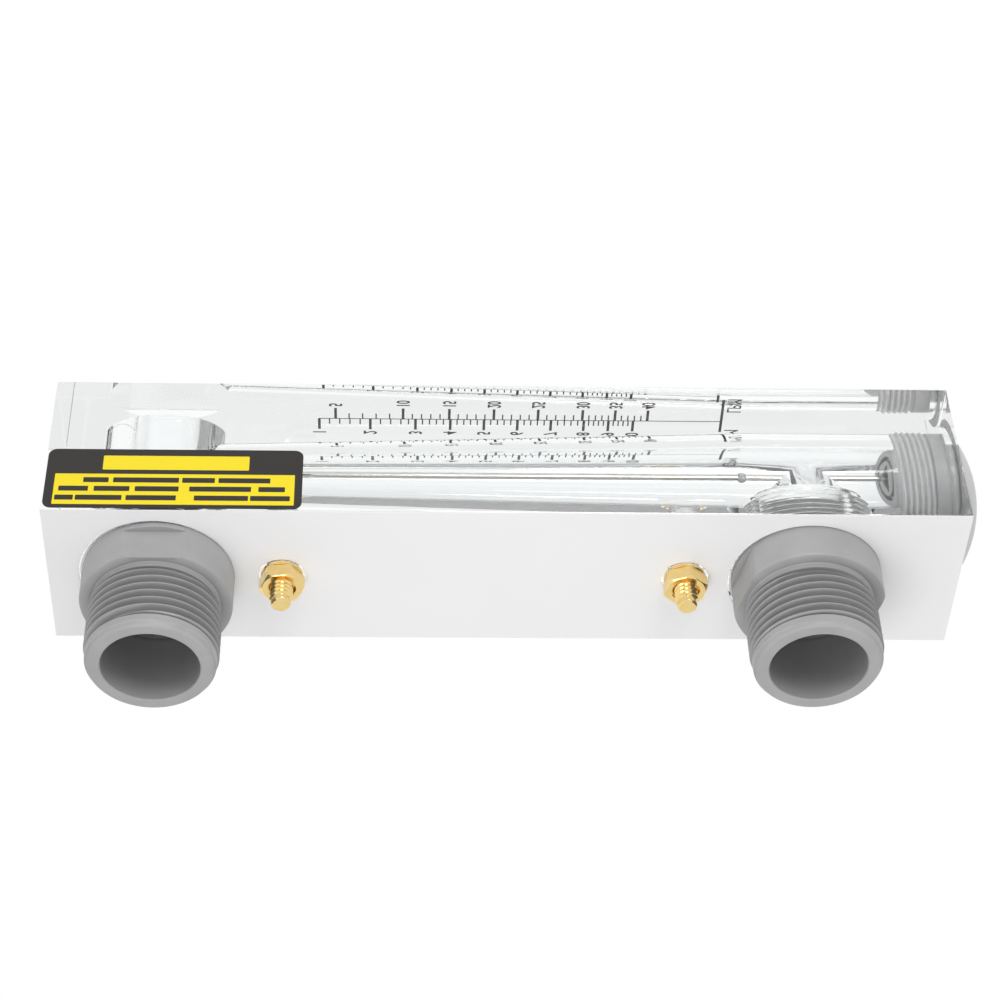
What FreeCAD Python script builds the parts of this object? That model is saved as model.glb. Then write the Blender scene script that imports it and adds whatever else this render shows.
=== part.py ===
import FreeCAD, Part
import math
import os

import Sketcher
from FreeCAD import Placement, Rotation, Vector

# Acrylic block rotameter for a panel, in millimetres.
#
# Frame: the origin is the centre of the two mounting studs on the block's back face.
# +Z runs up the tube, the way the fluid flows, +Y points out of the back and -Y to the reader.
# The float is modelled at rest on its lower stop.

SIZES = [
    # alias, value, what it is
    ("block_width", 46.0, "block, left to right"),
    ("block_depth", 45.6, "block, back face to scale face"),
    ("block_length", 228.8, "block, end to end"),
    ("block_below", 108.7, "lower end of the block below the origin"),
    ("film_thick", 0.25, "white film on the back face"),
    ("film_port_hole", 19.9, "film's hole round a fitting, radius"),
    ("film_port_slip", 0.4, "how far the film's holes sit low of the fittings"),
    ("film_stud_hole", 6.4, "film's hole round a washer, radius"),
    ("port_spread", 162.4, "inlet axis to outlet axis"),
    ("stud_spread", 101.0, "stud to stud"),
    ("bore_back", 25.0, "metering bore's axis behind the back face"),
    ("rod_seat", 8.0, "blind hole for the rod, from the block's lower end"),
    ("taper_low_radius", 9.0, "metering bore at the inlet"),
    ("taper_top_radius", 14.1, "metering bore at its top"),
    ("taper_top", 65.0, "top of the taper above the origin"),
    ("chamber_radius", 14.3, "outlet chamber"),
    ("cross_radius", 13.8, "cross bore behind each fitting"),
    ("inlet_cross_deep", 40.4, "inlet cross bore from the back face"),
    ("port_tap_radius", 16.1, "tapped hole for a fitting"),
    ("port_tap_deep", 17.0, "depth of that tapped hole"),
    ("port_spot_radius", 19.4, "spot face round a port"),
    ("port_spot_deep", 1.0, "depth of the spot face"),
    ("plug_tap_radius", 15.0, "tapped hole for the end plug"),
    ("plug_tap_deep", 15.5, "depth of that hole from the upper end"),
    ("plug_seat_radius", 17.0, "counterbore for the plug's seal"),
    ("plug_seat_deep", 2.2, "depth of that counterbore"),
    ("fit_bore", 12.1, "fitting's bore, radius"),
    ("fit_shank", 16.0, "fitting's threaded shank, radius"),
    ("fit_shank_long", 9.0, "shank inside the block"),
    ("fit_groove", 14.6, "seal groove under the collar, radius"),
    ("fit_groove_long", 2.4, "length of that groove"),
    ("fit_collar", 18.9, "collar, radius"),
    ("fit_collar_long", 10.5, "collar, back to front"),
    ("fit_rim", 1.7, "round rim left behind the wrench flats"),
    ("fit_flat", 17.25, "axis to wrench flat"),
    ("fit_neck", 15.8, "neck in front of the collar, radius"),
    ("fit_neck_long", 1.5, "length of that neck"),
    ("fit_thread", 16.5, "pipe thread, outer radius"),
    ("fit_thread_long", 15.6, "pipe thread's full part"),
    ("fit_nose", 15.9, "shoulder past the thread, radius"),
    ("fit_nose_step", 15.5, "step before the mouth, radius"),
    ("fit_mouth", 15.0, "rim of the mouth, radius"),
    ("fit_long", 30.8, "back of the collar to the mouth"),
    ("fit_ring", 0.25, "depth of the ring line inside the bore"),
    ("outlet_seat", 1.0, "how deep the outlet fitting sits in its spot face"),
    ("outlet_turn", 76.0, "turn of the outlet fitting's flats"),
    ("seal_radius", 15.35, "port seal, centre line"),
    ("seal_wire", 0.75, "port seal, section radius"),
    ("rod_radius", 1.5, "guide rod"),
    ("rod_low", 7.6, "air under the rod's foot, from the block's lower end"),
    ("rod_in_plug", 6.0, "rod's length inside the plug"),
    ("rod_slack", 0.08, "running clearance on the rod, radial"),
    ("float_low", 72.0, "foot of the resting float below the origin"),
    ("float_long", 22.0, "float, foot to crown"),
    ("float_head", 9.1, "reading edge, radius"),
    ("float_waist", 5.4, "float's stem, radius"),
    ("float_foot", 7.0, "float's foot, radius"),
    ("float_tip", 2.6, "float's lower tip, radius"),
    ("stop_radius", 2.5, "rubber stop on the rod, radius"),
    ("stop_long", 3.6, "rubber stop, length"),
    ("stop_round", 0.8, "rounding of its ends"),
    ("upper_stop_low", 65.4, "foot of the upper stop above the origin"),
    ("plug_thread", 14.95, "plug's thread, radius"),
    ("plug_nose", 14.2, "plug's nose, radius"),
    ("plug_nose_long", 0.9, "nose in front of the thread"),
    ("plug_thread_long", 9.3, "plug's threaded part"),
    ("plug_neck", 14.6, "plug's smooth neck, radius"),
    ("plug_long", 16.0, "nose to the flange's seat"),
    ("plug_flange", 17.6, "domed flange, radius"),
    ("plug_flange_rim", 1.0, "straight rim of the flange"),
    ("plug_dome", 4.0, "height of the dome above the rim"),
    ("plug_dome_flat", 8.0, "flat top of the dome, radius"),
    ("plug_ring_out", 10.6, "ring groove in the nose, outer radius"),
    ("plug_ring_in", 8.4, "ring groove in the nose, inner radius"),
    ("plug_ring_deep", 1.5, "depth of that groove"),
    ("plug_star", 6.4, "three-cornered pocket in the nose, corner radius"),
    ("plug_star_deep", 3.0, "depth of that pocket"),
    ("plug_key", 7.0, "hexagon socket in the dome, corner radius"),
    ("plug_key_deep", 6.0, "depth of that socket"),
    ("plug_seal_radius", 15.8, "plug's seal, centre line"),
    ("plug_seal_wire", 1.1, "plug's seal, section radius"),
    ("insert_radius", 4.0, "brass insert, outer radius"),
    ("insert_long", 11.0, "brass insert, length"),
    ("insert_groove", 3.6, "grooves between its knurled bands, radius"),
    ("stud_radius", 2.9, "stud's free end, radius over its thread"),
    ("stud_mesh", 2.65, "radius where its thread meets the nut's and the insert's"),
    ("stud_clear", 0.1, "nut's face to the start of the free end"),
    ("stud_tip", 2.1, "stud's end face, radius"),
    ("stud_out", 10.2, "stud beyond the back face"),
    ("washer_radius", 5.9, "washer, radius"),
    ("washer_thick", 0.75, "washer, thickness"),
    ("nut_corner", 5.77, "nut, axis to corner"),
    ("nut_thick", 4.0, "nut, height"),
    ("nut_bevel", 0.45, "height of the nut's bevel"),
    ("lower_nut_turn", 35.5, "turn of the lower nut"),
    ("upper_nut_turn", 49.5, "turn of the upper nut"),
    ("sticker_low", 108.3, "sticker's lower edge below the origin"),
    ("sticker_long", 63.0, "sticker, along the tube"),
    ("sticker_wide", 20.4, "sticker, across the side face"),
    ("sticker_back", 0.5, "sticker's edge from the back face"),
    ("sticker_corner", 2.2, "sticker's corner radius"),
    ("sticker_thick", 0.2, "sticker, thickness"),
]


class Size:
    """A length that knows its value and the spreadsheet formula that gives it."""

    def __init__(self, value, formula):
        self.value = value
        self.formula = formula

    def _with(self, other, sign, value):
        return Size(value, "(%s %s %s)" % (self.formula, sign, size(other).formula))

    def __add__(self, other):
        return self._with(other, "+", self.value + size(other).value)

    def __sub__(self, other):
        return self._with(other, "-", self.value - size(other).value)

    def __mul__(self, factor):
        return self._with(factor, "*", self.value * size(factor).value)

    def __truediv__(self, factor):
        return self._with(factor, "/", self.value / size(factor).value)

    def __neg__(self):
        return Size(-self.value, "(0 - %s)" % self.formula)


def size(number):
    """A Size from a Size or a plain number."""
    if isinstance(number, Size):
        return number
    return Size(float(number), "%.6f" % number)


class Sheet:
    """The driving dimensions: one spreadsheet row each, read back as Size attributes."""

    def __init__(self, doc):
        cells = doc.addObject("Spreadsheet::Sheet", "Sizes")
        for row, (alias, value, note) in enumerate(SIZES, start=1):
            cells.set("A%d" % row, alias)
            cells.set("B%d" % row, str(value))
            cells.setAlias("B%d" % row, alias)
            cells.set("C%d" % row, note)
            setattr(self, alias, Size(value, "Sizes." + alias))


doc = FreeCAD.newDocument("rotameter")
mm = Sheet(doc)
doc.recompute()
zero = size(0.0)
nodes = []


# ---------------------------------------------------------------- helpers

def new_body(label):
    """A named PartDesign body, kept in the list of pieces to write."""
    body = doc.addObject("PartDesign::Body", label)
    body.Label = label
    nodes.append(body)
    return body


def place(body, x=zero, y=zero, z=zero, turn=0.0, lay_along_y=False):
    """Put a piece in the frame; lay_along_y turns its own Z axis to point out of the back."""
    spin = Rotation(Vector(0, 0, 1), turn)
    lay = Rotation(Vector(1, 0, 0), -90 if lay_along_y else 0)
    body.Placement = Placement(Vector(0, 0, 0), lay * spin)
    for name, at in (("x", x), ("y", y), ("z", z)):
        body.setExpression("Placement.Base." + name, size(at).formula)


def new_sketch(body, role, height=None):
    """A sketch on one of the body's own origin planes, raised by height."""
    plane = next(f for f in body.Origin.OriginFeatures if f.Role == role)
    sketch = body.newObject("Sketcher::SketchObject", body.Label + "_sketch")
    sketch.AttachmentSupport = [(plane, "")]
    sketch.MapMode = "FlatFace"
    if height is not None:
        sketch.setExpression("AttachmentOffset.Base.z", size(height).formula)
    return sketch


def bind_point(sketch, curve, end, x, y):
    """Hold one end of a curve at (x, y) by dimensions that follow the sheet."""
    for kind, axis, at in (("DistanceX", -2, x), ("DistanceY", -1, y)):
        if at is zero:
            sketch.addConstraint(Sketcher.Constraint("PointOnObject", curve, end, axis))
            continue
        index = sketch.addConstraint(Sketcher.Constraint(kind, -1, 1, curve, end, at.value))
        sketch.setExpression("Constraints[%d]" % index, at.formula)


def closed_outline(sketch, points):
    """A closed loop of straight lines through points given as pairs of Sizes."""
    points = [(size(x) if x != 0 else zero, size(y) if y != 0 else zero) for x, y in points]
    first = sketch.GeometryCount
    for (x0, y0), (x1, y1) in zip(points, points[1:] + points[:1]):
        ends = Vector(x0.value, y0.value, 0), Vector(x1.value, y1.value, 0)
        sketch.addGeometry(Part.LineSegment(*ends), False)
    count = len(points)
    for step, (x, y) in enumerate(points):
        line = first + step
        before = first + (step - 1) % count
        sketch.addConstraint(Sketcher.Constraint("Coincident", before, 2, line, 1))
        bind_point(sketch, line, 1, x, y)


def circle(sketch, radius, x=zero, y=zero):
    """A circle whose radius and centre follow the sheet."""
    radius = size(radius)
    round_line = Part.Circle(Vector(x.value, y.value, 0), Vector(0, 0, 1), radius.value)
    index = sketch.addGeometry(round_line, False)
    bound = sketch.addConstraint(Sketcher.Constraint("Radius", index, radius.value))
    sketch.setExpression("Constraints[%d]" % bound, radius.formula)
    bind_point(sketch, index, 3, x, y)


def pad(body, sketch, length, backwards=False):
    """Raise a sketch into material."""
    feature = body.newObject("PartDesign::Pad", body.Label + "_pad")
    feature.Profile = sketch
    feature.setExpression("Length", size(length).formula)
    feature.Reversed = backwards
    return feature


def pocket(body, sketch, depth, backwards=False):
    """Cut a sketch into the body, and make sure that it removed material."""
    doc.recompute()
    before = body.Shape.Volume
    feature = body.newObject("PartDesign::Pocket", body.Label + "_pocket")
    feature.Profile = sketch
    feature.setExpression("Length", size(depth).formula)
    feature.Reversed = backwards
    doc.recompute()
    if body.Shape.Volume > before - 0.01:
        raise RuntimeError(body.Label + ": a pocket removed nothing")
    return feature


def turned(label, outline):
    """A turned piece about its own Z axis; outline lists (radius, height) round its section."""
    body = new_body(label)
    sketch = new_sketch(body, "XZ_Plane")
    closed_outline(sketch, outline)
    feature = body.newObject("PartDesign::Revolution", label + "_turned")
    feature.Profile = sketch
    feature.ReferenceAxis = (sketch, ["V_Axis"])
    feature.Angle = 360
    return body


def ring_seal(label, radius, wire):
    """An O-ring about its own Z axis: an eight-sided section, rounded enough for a sealed ring."""
    section = []
    for corner in range(8):
        angle = math.radians(22.5 + 45.0 * corner)
        section.append((radius + wire * math.cos(angle), wire * math.sin(angle)))
    return turned(label, section)


# ---------------------------------------------------------------- the block and its film

inlet_z = -mm.port_spread / 2
outlet_z = mm.port_spread / 2
lower_stud_z = -mm.stud_spread / 2
upper_stud_z = mm.stud_spread / 2
block_low = -mm.block_below
block_top = mm.block_length - mm.block_below


def block_holes(body, radius, depth, centres):
    """Round holes sunk from the back face."""
    sketch = new_sketch(body, "XZ_Plane")
    for z in centres:
        circle(sketch, radius, zero, z)
    pocket(body, sketch, depth, backwards=True)


def make_block():
    """The clear block: sawn bar, then the long bore from the top and the ports from the back."""
    body = new_body("body_block")
    blank = new_sketch(body, "XY_Plane", block_low)
    half = mm.block_width / 2
    closed_outline(blank, [(-half, zero), (-half, -mm.block_depth), (half, -mm.block_depth), (half, zero)])
    pad(body, blank, mm.block_length)

    def at(radius):
        return -(mm.bore_back + radius)

    bore = new_sketch(body, "YZ_Plane")
    seat = mm.rod_radius + mm.rod_slack
    tap_low = block_top - mm.plug_tap_deep
    seat_low = block_top - mm.plug_seat_deep
    axis = -mm.bore_back
    closed_outline(bore, [
        (axis, block_low + mm.rod_seat),
        (at(seat), block_low + mm.rod_seat),
        (at(seat), inlet_z),
        (at(mm.taper_low_radius), inlet_z),
        (at(mm.taper_top_radius), mm.taper_top),
        (at(mm.chamber_radius), mm.taper_top),
        (at(mm.chamber_radius), tap_low),
        (at(mm.plug_tap_radius), tap_low),
        (at(mm.plug_tap_radius), seat_low),
        (at(mm.plug_seat_radius), seat_low),
        (at(mm.plug_seat_radius), block_top + 1),
        (axis, block_top + 1),
    ])
    centre_line = bore.addGeometry(
        Part.LineSegment(Vector(axis.value, -10, 0), Vector(axis.value, 10, 0)), True)
    bind_point(bore, centre_line, 1, axis, size(-10))
    bind_point(bore, centre_line, 2, axis, size(10))
    doc.recompute()
    before = body.Shape.Volume
    groove = body.newObject("PartDesign::Groove", "long_bore")
    groove.Profile = bore
    groove.ReferenceAxis = (bore, ["Axis0"])
    groove.Angle = 360
    doc.recompute()
    if body.Shape.Volume > before - 1:
        raise RuntimeError("the long bore removed nothing")

    block_holes(body, mm.port_spot_radius, mm.port_spot_deep, [inlet_z, outlet_z])
    block_holes(body, mm.port_tap_radius, mm.port_tap_deep, [inlet_z, outlet_z])
    block_holes(body, mm.cross_radius, mm.inlet_cross_deep, [inlet_z])
    block_holes(body, mm.cross_radius, mm.bore_back, [outlet_z])
    block_holes(body, mm.insert_radius, mm.insert_long + 1, [lower_stud_z, upper_stud_z])


def make_back_film():
    """Opaque film over the back face, with a hole for each fitting and stud."""
    body = new_body("back_film")
    sketch = new_sketch(body, "XZ_Plane")
    half = mm.block_width / 2
    closed_outline(sketch, [(-half, block_low), (half, block_low), (half, block_top), (-half, block_top)])
    for z in (inlet_z, outlet_z):
        circle(sketch, mm.film_port_hole, zero, z - mm.film_port_slip)
    for z in (lower_stud_z, upper_stud_z):
        circle(sketch, mm.film_stud_hole, zero, z)
    pad(body, sketch, mm.film_thick, backwards=True)


def make_sticker():
    """A thin sticker with round corners on the right-hand side face."""
    low = -mm.sticker_low
    plate = doc.addObject("Part::Box", "sticker_plate")
    plate.setExpression("Length", mm.sticker_thick.formula)
    plate.setExpression("Width", mm.sticker_wide.formula)
    plate.setExpression("Height", mm.sticker_long.formula)
    place(plate, mm.block_width / 2, -(mm.sticker_back + mm.sticker_wide), low)
    doc.recompute()
    corners = []
    for number, edge in enumerate(plate.Shape.Edges, start=1):
        if abs(edge.Length - mm.sticker_thick.value) < 0.001:
            corners.append((number, mm.sticker_corner.value, mm.sticker_corner.value))
    sticker = doc.addObject("Part::Fillet", "side_sticker")
    sticker.Label = "side_sticker"
    sticker.Base = plate
    sticker.Edges = corners
    nodes.append(sticker)


# ---------------------------------------------------------------- the pipe fittings

def make_fitting(label, z, seat, turn):
    """A pipe fitting about its own Z axis, from the back of its collar out to the mouth."""
    neck_end = mm.fit_collar_long + mm.fit_neck_long
    thread_end = neck_end + mm.fit_thread_long
    ring_low = mm.fit_collar_long
    body = turned(label, [
        (mm.fit_bore, -mm.fit_shank_long),
        (mm.fit_shank - 1, -mm.fit_shank_long),
        (mm.fit_shank, -(mm.fit_shank_long - 1)),
        (mm.fit_shank, -(mm.fit_groove_long + 1)),
        (mm.fit_groove, -(mm.fit_groove_long + 1)),
        (mm.fit_groove, zero),
        (mm.fit_collar - 0.4, zero),
        (mm.fit_collar, size(0.4)),
        (mm.fit_collar, mm.fit_collar_long - 0.5),
        (mm.fit_collar - 0.5, mm.fit_collar_long),
        (mm.fit_neck, mm.fit_collar_long),
        (mm.fit_neck, neck_end),
        (mm.fit_thread, neck_end),
        (mm.fit_thread, thread_end),
        (mm.fit_nose, mm.fit_long - 1.4),
        (mm.fit_nose_step, mm.fit_long - 1.4),
        (mm.fit_mouth, mm.fit_long),
        (mm.fit_bore, mm.fit_long),
        (mm.fit_bore, ring_low + 1),
        (mm.fit_bore + mm.fit_ring, ring_low + 1),
        (mm.fit_bore + mm.fit_ring, ring_low),
        (mm.fit_bore, ring_low),
    ])
    doc.recompute()
    flats = new_sketch(body, "XY_Plane", mm.fit_rim)
    reach = mm.fit_collar + 2
    for side in (1, -1):
        inner = mm.fit_flat * side
        outer = reach * side
        closed_outline(flats, [(inner, -reach), (outer, -reach), (outer, reach), (inner, reach)])
    pocket(body, flats, mm.fit_collar_long - mm.fit_rim + 0.5, backwards=True)
    place(body, zero, -seat, z, turn, lay_along_y=True)


# ---------------------------------------------------------------- inside the bore

def make_rod():
    """The guide rod, from its blind hole at the bottom into the plug."""
    low = block_low + mm.rod_seat
    high = block_top - mm.plug_long + mm.rod_in_plug
    body = turned("guide_rod", [
        (zero, low),
        (mm.rod_radius - 0.3, low),
        (mm.rod_radius, low + 0.3),
        (mm.rod_radius, high - 0.3),
        (mm.rod_radius - 0.3, high),
        (zero, high),
    ])
    place(body, y=-mm.bore_back)


def make_float():
    """The float: a turned spindle with a sharp reading edge, free to slide on the rod."""
    hole = mm.rod_radius + mm.rod_slack
    edge = mm.float_long - 2.0
    body = turned("float", [
        (hole, zero),
        (mm.float_tip, zero),
        (mm.float_foot, size(4.0)),
        (mm.float_foot, size(6.5)),
        (mm.float_waist, size(8.0)),
        (mm.float_waist, edge - 5.5),
        (mm.float_head, edge - 0.6),
        (mm.float_head, edge),
        (mm.float_waist - 1, edge),
        (mm.float_tip, mm.float_long),
        (hole, mm.float_long),
    ])
    place(body, y=-mm.bore_back, z=-mm.float_low)


def make_stop(label, low):
    """A short sleeve on the rod that stops the float."""
    high = mm.stop_long
    outer = mm.stop_radius
    soft = mm.stop_round
    body = turned(label, [
        (mm.rod_radius, zero),
        (outer - soft, zero),
        (outer - soft * 0.3, soft * 0.3),
        (outer, soft),
        (outer, high - soft),
        (outer - soft * 0.3, high - soft * 0.3),
        (outer - soft, high),
        (mm.rod_radius, high),
    ])
    place(body, y=-mm.bore_back, z=low)


def make_plug():
    """The end plug, from its nose up to the domed flange; its own zero is the nose."""
    thread_low = mm.plug_nose_long
    thread_high = thread_low + mm.plug_thread_long
    seat = mm.plug_long
    rim = seat + mm.plug_flange_rim
    steps = 6
    dome = []
    for step in range(1, steps + 1):
        share = step / steps
        radius = mm.plug_flange - (mm.plug_flange - mm.plug_dome_flat) * share
        dome.append((radius, rim + mm.plug_dome * (1 - (1 - share) ** 2)))
    hole = mm.rod_radius + 0.05
    body = turned("end_plug", [
        (hole, zero),
        (mm.plug_ring_in, zero),
        (mm.plug_ring_in, mm.plug_ring_deep),
        (mm.plug_ring_out, mm.plug_ring_deep),
        (mm.plug_ring_out, zero),
        (mm.plug_nose - 0.4, zero),
        (mm.plug_nose, size(0.4)),
        (mm.plug_nose, thread_low),
        (mm.plug_thread, thread_low),
        (mm.plug_thread, thread_high),
        (mm.plug_neck, thread_high),
        (mm.plug_neck, seat),
        (mm.plug_flange, seat),
        (mm.plug_flange, rim),
        *dome,
        (zero, rim + mm.plug_dome),
        (zero, mm.rod_in_plug + 0.5),
        (hole, mm.rod_in_plug + 0.5),
    ])
    doc.recompute()
    star = new_sketch(body, "XY_Plane")
    closed_outline(star, corners_of(mm.plug_star, 3, 30.0))
    pocket(body, star, mm.plug_star_deep, backwards=True)
    key = new_sketch(body, "XY_Plane", rim + mm.plug_dome)
    closed_outline(key, corners_of(mm.plug_key, 6, 0.0))
    pocket(body, key, mm.plug_key_deep)
    place(body, y=-mm.bore_back, z=block_top - mm.plug_long)


def corners_of(radius, count, turn):
    """The corners of a regular polygon, as Sizes that follow the radius."""
    corners = []
    for number in range(count):
        angle = math.radians(turn + 360.0 * number / count)
        corners.append((radius * math.cos(angle), radius * math.sin(angle)))
    return corners


# ---------------------------------------------------------------- the mounting hardware

def make_insert(label, z):
    """A knurled brass insert sunk in the block; its own zero is the back face."""
    deep = mm.insert_long
    groove_low = deep * 0.38
    groove_high = deep * 0.62
    body = turned(label, [
        (mm.stud_mesh, -deep),
        (mm.insert_radius - 0.4, -deep),
        (mm.insert_radius, -(deep - 0.4)),
        (mm.insert_radius, -groove_high),
        (mm.insert_groove, -groove_high),
        (mm.insert_groove, -groove_low),
        (mm.insert_radius, -groove_low),
        (mm.insert_radius, zero),
        (mm.stud_mesh, zero),
    ])
    place(body, z=z, lay_along_y=True)


def make_stud(label, z):
    """A stud screwed into its insert: slimmer where its thread is engaged, full on its free end."""
    bevel = mm.stud_radius - mm.stud_tip
    foot = mm.insert_long - 0.5
    free = mm.washer_thick + mm.nut_thick + mm.stud_clear
    body = turned(label, [
        (zero, -foot),
        (mm.stud_tip, -foot),
        (mm.stud_mesh, -(foot - bevel)),
        (mm.stud_mesh, free),
        (mm.stud_radius, free),
        (mm.stud_radius, mm.stud_out - bevel),
        (mm.stud_tip, mm.stud_out),
        (zero, mm.stud_out),
    ])
    place(body, z=z, lay_along_y=True)


def make_washer(label, z):
    """A thin washer on the block's back face, inside the film's hole."""
    high = mm.washer_thick
    body = turned(label, [
        (mm.stud_radius + 0.2, zero),
        (mm.washer_radius, zero),
        (mm.washer_radius, high),
        (mm.stud_radius + 0.2, high),
    ])
    place(body, z=z, lay_along_y=True)


def make_nut(label, z, turn):
    """A hexagon nut, bevelled on both faces."""
    low = mm.washer_thick
    high = low + mm.nut_thick
    body = new_body(label)
    hexagon = new_sketch(body, "XY_Plane", low)
    closed_outline(hexagon, corners_of(mm.nut_corner, 6, 0.0))
    circle(hexagon, mm.stud_mesh)
    pad(body, hexagon, mm.nut_thick)
    doc.recompute()
    before = body.Shape.Volume
    bevels = new_sketch(body, "XZ_Plane")
    wide = mm.nut_corner + 0.6
    inner = mm.nut_corner * 0.87
    drop = mm.nut_bevel * 1.8
    closed_outline(bevels, [(inner, low - 0.01), (wide, low - 0.01), (wide, low + drop)])
    closed_outline(bevels, [(inner, high + 0.01), (wide, high - drop), (wide, high + 0.01)])
    groove = body.newObject("PartDesign::Groove", label + "_bevels")
    groove.Profile = bevels
    groove.ReferenceAxis = (bevels, ["V_Axis"])
    groove.Angle = 360
    doc.recompute()
    if body.Shape.Volume > before - 0.01:
        raise RuntimeError(label + ": the bevels removed nothing")
    place(body, z=z, turn=turn, lay_along_y=True)


# ---------------------------------------------------------------- assembly

make_block()
make_back_film()
make_sticker()
make_rod()
make_float()
make_stop("lower_stop", -(mm.float_low + mm.stop_long))
make_stop("upper_stop", mm.upper_stop_low)
make_plug()
plug_seal = ring_seal("end_plug_o_ring", mm.plug_seal_radius, mm.plug_seal_wire)
place(plug_seal, y=-mm.bore_back, z=block_top - mm.plug_seal_wire)

make_fitting("inlet_fitting", inlet_z, zero, 0.0)
make_fitting("outlet_fitting", outlet_z, mm.outlet_seat, mm.outlet_turn.value)
for label, z, seat in (("inlet_o_ring", inlet_z, zero), ("outlet_o_ring", outlet_z, mm.outlet_seat)):
    port_seal = ring_seal(label, mm.seal_radius, mm.seal_wire)
    place(port_seal, y=-(mm.fit_groove_long / 2 + 1 + seat), z=z, lay_along_y=True)

lower_side = ("lower", lower_stud_z, mm.lower_nut_turn)
upper_side = ("upper", upper_stud_z, mm.upper_nut_turn)
for side, z, turn in (lower_side, upper_side):
    make_insert(side + "_insert", z)
    make_stud(side + "_stud", z)
    make_washer(side + "_washer", z)
    make_nut(side + "_nut", z, turn.value)

doc.recompute()

# ---------------------------------------------------------------- check and write

for item in doc.Objects:
    if "Invalid" in item.State or "Error" in item.State:
        raise RuntimeError("%s is %s" % (item.Label, item.State))

os.makedirs("parts", exist_ok=True)
for node in nodes:
    shape = node.Shape
    if shape.isNull() or not shape.isValid() or len(shape.Solids) != 1:
        raise RuntimeError(node.Label + " isn't one valid solid")
    shape.exportStep("parts/%s.step" % node.Label)
    box = shape.BoundBox
    print("%-16s %9.1f mm3  x %.2f..%.2f  y %.2f..%.2f  z %.2f..%.2f" % (
        node.Label, shape.Volume, box.XMin, box.XMax, box.YMin, box.YMax, box.ZMin, box.ZMax))
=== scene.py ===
# %% [markdown]
# # Dressing an acrylic block flow meter
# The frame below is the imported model: every piece at its real size, in metres, +Z up the tube.
# The cells after it give each piece its finished shape and surface. Shapes are worked out in
# millimetres, because that is how such a part is drawn, and turned to metres as each is finished.

import math
import random

import bmesh
import bpy
from mathutils import Matrix, Vector


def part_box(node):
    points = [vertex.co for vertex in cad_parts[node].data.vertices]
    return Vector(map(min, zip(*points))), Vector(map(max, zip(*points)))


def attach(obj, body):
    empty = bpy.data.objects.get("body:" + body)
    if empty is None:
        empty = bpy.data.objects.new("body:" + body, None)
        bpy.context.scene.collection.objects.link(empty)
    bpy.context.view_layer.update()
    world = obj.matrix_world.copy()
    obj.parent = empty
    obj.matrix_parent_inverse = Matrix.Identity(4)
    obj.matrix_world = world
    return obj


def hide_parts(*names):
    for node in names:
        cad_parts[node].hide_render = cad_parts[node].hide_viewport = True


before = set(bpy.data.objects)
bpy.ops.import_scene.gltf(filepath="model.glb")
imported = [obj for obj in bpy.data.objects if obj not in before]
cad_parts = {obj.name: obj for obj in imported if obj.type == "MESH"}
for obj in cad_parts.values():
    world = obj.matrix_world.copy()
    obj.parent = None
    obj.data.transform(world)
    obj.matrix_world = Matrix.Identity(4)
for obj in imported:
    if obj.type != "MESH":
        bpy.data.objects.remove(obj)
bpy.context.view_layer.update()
MM = 0.001


def box_mm(node):
    """Lowest and highest corner of a frame node, in millimetres."""
    low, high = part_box(node)
    return Vector(low) / MM, Vector(high) / MM


block_low, block_high = box_mm("body_block")
block_size = block_high - block_low
print("block %.1f x %.1f x %.1f mm" % tuple(block_size))

# %% [markdown]
# ## Where things are
# Most places come from the frame's boxes: the ports from the fittings, the studs from the nuts,
# the bore from the rod. What lies inside one solid has no box of its own, so the machining sizes
# of the block are named here once.

# %% Places read from the frame
centre = {name: sum(box_mm(name), Vector()) / 2 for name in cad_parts}
INLET_Z = centre["inlet_fitting"].z
OUTLET_Z = centre["outlet_fitting"].z
STUD_Z = {"lower": centre["lower_stud"].z, "upper": centre["upper_stud"].z}
BORE_Y = centre["guide_rod"].y
ROD_RADIUS = (box_mm("guide_rod")[1] - box_mm("guide_rod")[0]).x / 2
BACK_Y = block_high.y
FRONT_Y = block_low.y
SIDE_X = block_high.x
print("bore axis %.1f mm behind the back face, ports at %.1f and %.1f" % (-BORE_Y, INLET_Z, OUTLET_Z))

# %% Machining sizes inside the block
TAPER_LOW_RADIUS = 9.0
TAPER_TOP_RADIUS = 14.1
TAPER_TOP_Z = 65.0
CHAMBER_RADIUS = 14.3
INLET_RADIUS = 15.6
INLET_DEEP = 37.9
OUTLET_RADIUS = 14.1
PORT_TAP_RADIUS = 16.9
PORT_TAP_ROOT = 15.9
PORT_TAP_DEEP = 14.5
PORT_SPOT_RADIUS = 19.4
PORT_SPOT_DEEP = 1.0
PLUG_TAP_RADIUS = 15.0
PLUG_TAP_DEEP = 15.5
PLUG_SEAT_RADIUS = 17.0
PLUG_SEAT_DEEP = 2.2
ROD_SEAT = 8.0
INSERT_RADIUS = 4.0
PIPE_PITCH = 2.309
PORT_PITCH = 1.6
PLUG_PITCH = 1.5
STUD_PITCH = 1.27

# %% [markdown]
# ## Colour and nodes
# Colours are written as they look on a screen, in sRGB hex, and one function turns them into the
# linear values that shaders mix. One more small function adds any node, sets it and links it.

# %% Colour and node helpers


def colour(text):
    """'#rrggbb' to a linear colour with alpha 1."""
    channels = []
    for start in (1, 3, 5):
        level = int(text[start:start + 2], 16) / 255
        channels.append(level / 12.92 if level <= 0.04045 else ((level + 0.055) / 1.055) ** 2.4)
    return (*channels, 1.0)


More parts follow.
